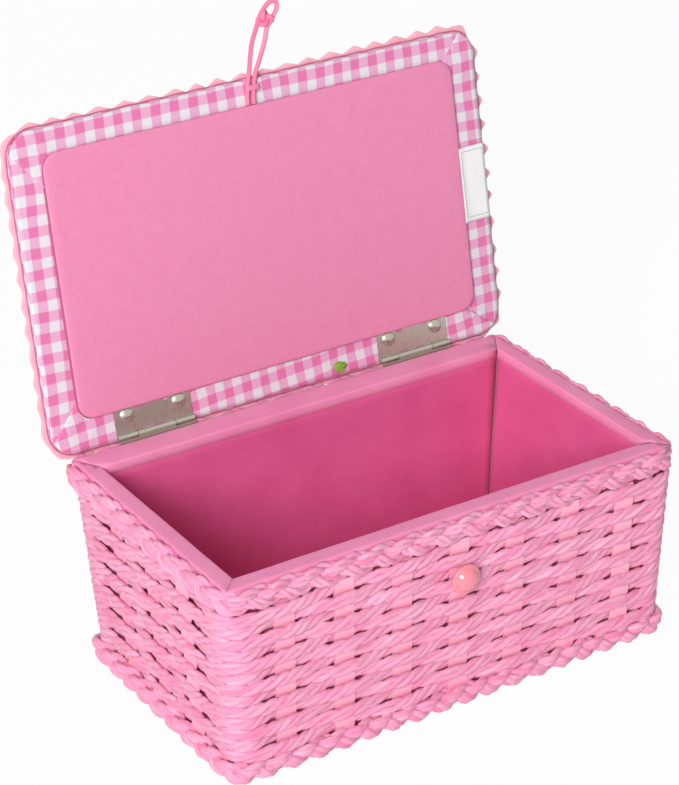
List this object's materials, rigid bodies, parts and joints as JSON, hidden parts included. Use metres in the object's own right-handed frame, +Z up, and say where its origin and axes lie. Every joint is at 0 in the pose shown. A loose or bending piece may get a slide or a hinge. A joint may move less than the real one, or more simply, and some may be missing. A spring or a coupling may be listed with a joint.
{
  "type": "sewing box",
  "caption": "Pink woven sewing box with a padded gingham lid on metal hinges, rick-rack edging, a lined storage space, and an elastic loop that closes over a front button.",
  "frame": {"origin": "on the floor, under the middle of the storage space, at the underside of the base board", "axes": "+Z up, +Y from the button side to the hinge side, +X to the right seen from the button side"},
  "size_m": [0.2668, 0.1993, 0.2966],
  "materials": {
    "board": "plain board",
    "lining": "woven cotton",
    "binding": "woven cotton",
    "stake": "flat paper ribbon",
    "paper_cord": "twisted paper cord",
    "nickel": "satin nickel",
    "elastic": "round braided elastic",
    "padding": "soft wadding",
    "gingham": "pink and white gingham",
    "felt": "soft napped cloth",
    "rick_rack": "woven trim",
    "tag": "satin ribbon",
    "green_thread": "sewing thread",
    "button": "glossy",
    "pink_thread": "sewing thread"
  },
  "bodies": {
    "box": {"base_board": "board", "button_thread": "pink_thread", "closing_button": "button", "floor_lining": "lining", "foot_braid": "paper_cord", "hinge_body_leaf_left": "nickel", "hinge_body_leaf_right": "nickel", "hinge_pin_left": "nickel", "hinge_pin_right": "nickel", "hinge_screws": "nickel", "lining_back": "lining", "lining_front": "lining", "lining_left": "lining", "lining_right": "lining", "rim_binding_back": "binding", "rim_binding_front": "binding", "rim_binding_left": "binding", "rim_binding_right": "binding", "rim_rail_back": "board", "rim_rail_front": "board", "rim_rail_left": "board", "rim_rail_right": "board", "stakes_back": "stake", "stakes_front": "stake", "stakes_left": "stake", "stakes_right": "stake", "top_braid": "paper_cord", "wall_board_back": "board", "wall_board_front": "board", "wall_board_left": "board", "wall_board_right": "board", "weave_row_01": "paper_cord", "weave_row_02": "paper_cord", "weave_row_03": "paper_cord", "weave_row_04": "paper_cord", "weave_row_05": "paper_cord", "weave_row_06": "paper_cord", "weave_row_07": "paper_cord", "weave_row_08": "paper_cord", "weave_row_09": "paper_cord", "weave_row_10": "paper_cord", "weave_row_11": "paper_cord", "weave_row_12": "paper_cord", "weave_row_13": "paper_cord"},
    "lid": {"lid_board": "board", "lid_pad": "padding", "lid_cover": "gingham", "lid_panel": "felt", "rick_rack_trim": "rick_rack", "lid_tag": "tag", "thread_knot": "green_thread", "hinge_lid_leaf_left": "nickel", "hinge_lid_leaf_right": "nickel", "hinge_rivets": "nickel", "elastic_root": "elastic", "elastic_tie": "elastic"},
    "closure_loop": {"elastic_loop": "elastic", "elastic_knot": "elastic"}
  },
  "joints": [
    {"name": "lid_hinge", "type": "hinge", "parent": "box", "child": "lid", "pos_m": [0, 0.0783, 0.1077], "axis": [1, 0, 0], "range_deg": [0, 101.3]},
    {"name": "loop_flex", "type": "hinge", "parent": "lid", "child": "closure_loop", "pos_m": [0, 0.10995, 0.26433], "axis": [1, 0, 0], "range_deg": [-40, 80], "stiffness_Nm_per_rad": 0.004}
  ]
}
